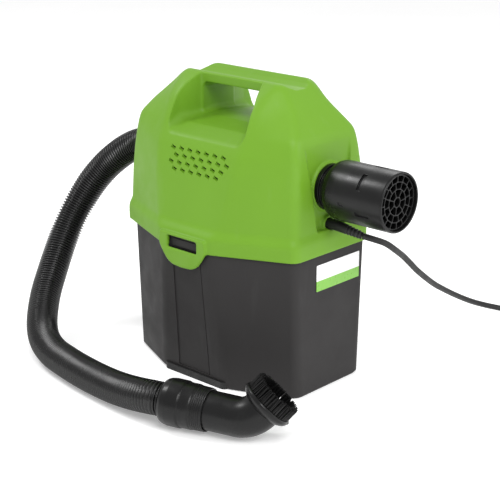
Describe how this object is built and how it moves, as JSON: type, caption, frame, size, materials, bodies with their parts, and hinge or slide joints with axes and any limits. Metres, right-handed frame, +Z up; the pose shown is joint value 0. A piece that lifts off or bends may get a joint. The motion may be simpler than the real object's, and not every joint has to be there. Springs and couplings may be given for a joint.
{
  "type": "shop vacuum",
  "caption": "Portable workshop vacuum: open tank, lift-off motor head with carry handle, suction hose with elbow and round brush, exhaust barrel and mains lead with plug.",
  "frame": {"origin": "centre of the tank's flat underside, on the surface it stands on", "axes": "+Z up, +X towards the exhaust barrel and the mains lead, -X towards the hose socket, -Y towards the front with the latch tab that is seen first"},
  "size_m": [0.6348, 0.7665, 0.385],
  "materials": {
    "green_plastic": "satin moulded",
    "smoke_plastic": "satin, fine grain",
    "black_plastic": "satin moulded",
    "hose_plastic": "ribbed, half gloss",
    "black_rubber": "matt",
    "white_plastic": "natural",
    "label_film": "smooth film, white over green",
    "zinc_steel": "zinc plated",
    "cast_alloy": "as pressed",
    "copper_wire": "enamelled copper",
    "carbon": "sintered",
    "filter_paper": "pleated paper",
    "bristle": "packed nylon bristles"
  },
  "bodies": {
    "tank": {"tank": "smoke_plastic", "front_foot": "black_rubber", "rear_foot": "black_rubber", "tank_label": "label_film"},
    "head": {"base_plate": "black_plastic", "brush_holder_left": "copper_wire", "brush_holder_right": "copper_wire", "capacitor": "copper_wire", "carbon_brush_left": "carbon", "carbon_brush_right": "carbon", "coil_strap": "black_rubber", "cord_clamp": "black_plastic", "end_frame": "black_plastic", "exhaust_duct": "black_plastic", "exhaust_neck": "black_plastic", "fan_case": "cast_alloy", "fan_gasket": "black_rubber", "filter_cage": "black_plastic", "filter_cap": "black_plastic", "filter_cartridge": "filter_paper", "filter_nut": "black_plastic", "hand_cuff": "black_plastic", "head_housing": "green_plastic", "hose_cuff": "black_plastic", "inlet_duct": "black_plastic", "inlet_socket": "black_plastic", "lead_coil": "black_rubber", "lead_tail": "black_rubber", "lower_bearing": "zinc_steel", "lower_bracket": "cast_alloy", "lower_winding": "copper_wire", "mains_lead": "black_rubber", "motor_mount": "black_rubber", "plate_screw_1": "zinc_steel", "plate_screw_2": "zinc_steel", "plate_screw_3": "zinc_steel", "plate_screw_4": "zinc_steel", "plug_body": "black_plastic", "plug_pin_1": "zinc_steel", "plug_pin_2": "zinc_steel", "rim_seal": "black_rubber", "stator_core": "zinc_steel", "strain_relief": "black_rubber", "suction_hose": "hose_plastic", "switch_frame": "black_plastic", "terminal_block": "white_plastic", "upper_bearing": "zinc_steel", "upper_winding": "copper_wire"},
    "rotor": {"motor_shaft": "zinc_steel", "armature": "zinc_steel", "commutator": "copper_wire", "impeller": "cast_alloy", "impeller_nut": "zinc_steel"},
    "rocker": {"switch_rocker": "black_plastic"},
    "barrel": {"exhaust_barrel": "black_plastic", "exhaust_grille": "black_plastic"},
    "float": {"float_ball": "white_plastic"},
    "elbow": {"nozzle_elbow": "black_plastic"},
    "brush": {"brush_collar": "black_plastic", "brush_bristles": "bristle"}
  },
  "joints": [
    {"name": "head_lift", "type": "slide", "parent": "tank", "child": "head", "axis": [0, 0, 1], "range_m": [0, 0.16]},
    {"name": "rotor_spin", "type": "hinge", "parent": "head", "child": "rotor", "pos_m": [0, 0, 0.26], "axis": [0, 0, 1], "continuous": true},
    {"name": "switch_rock", "type": "hinge", "parent": "head", "child": "rocker", "pos_m": [-0.1143, -0.019, 0.3451], "axis": [0, -1, 0], "range_deg": [0, 6]},
    {"name": "exhaust_twist", "type": "hinge", "parent": "head", "child": "barrel", "pos_m": [0.2, 0, 0.263], "axis": [1, 0, 0], "range_deg": [0, 30]},
    {"name": "float_rise", "type": "slide", "parent": "head", "child": "float", "axis": [0, 0, 1], "range_m": [0, 0.058]},
    {"name": "elbow_swivel", "type": "hinge", "parent": "head", "child": "elbow", "pos_m": [0.11698, -0.20098, 0.02844], "axis": [0.9436, 0.3284, -0.0412], "range_deg": [-25, 90]},
    {"name": "brush_spin", "type": "hinge", "parent": "elbow", "child": "brush", "pos_m": [0.18218, -0.17177, 0.03842], "axis": [0.46, 0.532, 0.7109], "continuous": true}
  ]
}
